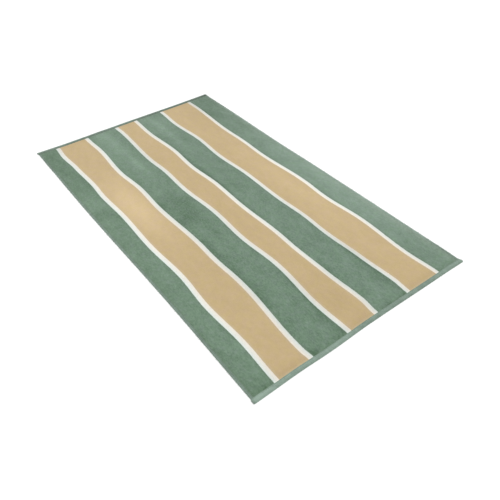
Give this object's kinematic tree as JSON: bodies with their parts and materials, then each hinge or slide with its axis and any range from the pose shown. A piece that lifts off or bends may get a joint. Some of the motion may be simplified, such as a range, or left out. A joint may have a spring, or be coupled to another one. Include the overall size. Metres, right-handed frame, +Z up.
{
  "type": "beach towel",
  "caption": "Flat pile-cloth towel with narrow side hems and flat-woven end hems, laid out on a surface.",
  "frame": {"origin": "middle of the towel's outline, on the surface that it lies on", "axes": "+Y along the towel's length towards its far end, +X across it to the right, +Z up, square to the surface"},
  "size_m": [1.0087, 1.8088, 0.0066],
  "materials": {
    "towel_cloth": "sheared cotton pile in sage green and sand bands parted by white lines, flat-woven green hems",
    "hem_cloth": "flat-woven sage green cotton with fine cross ribs",
    "thread": "matt sewing thread in darker green"
  },
  "bodies": {
    "root": {"towel": "towel_cloth"}
  },
  "joints": []
}
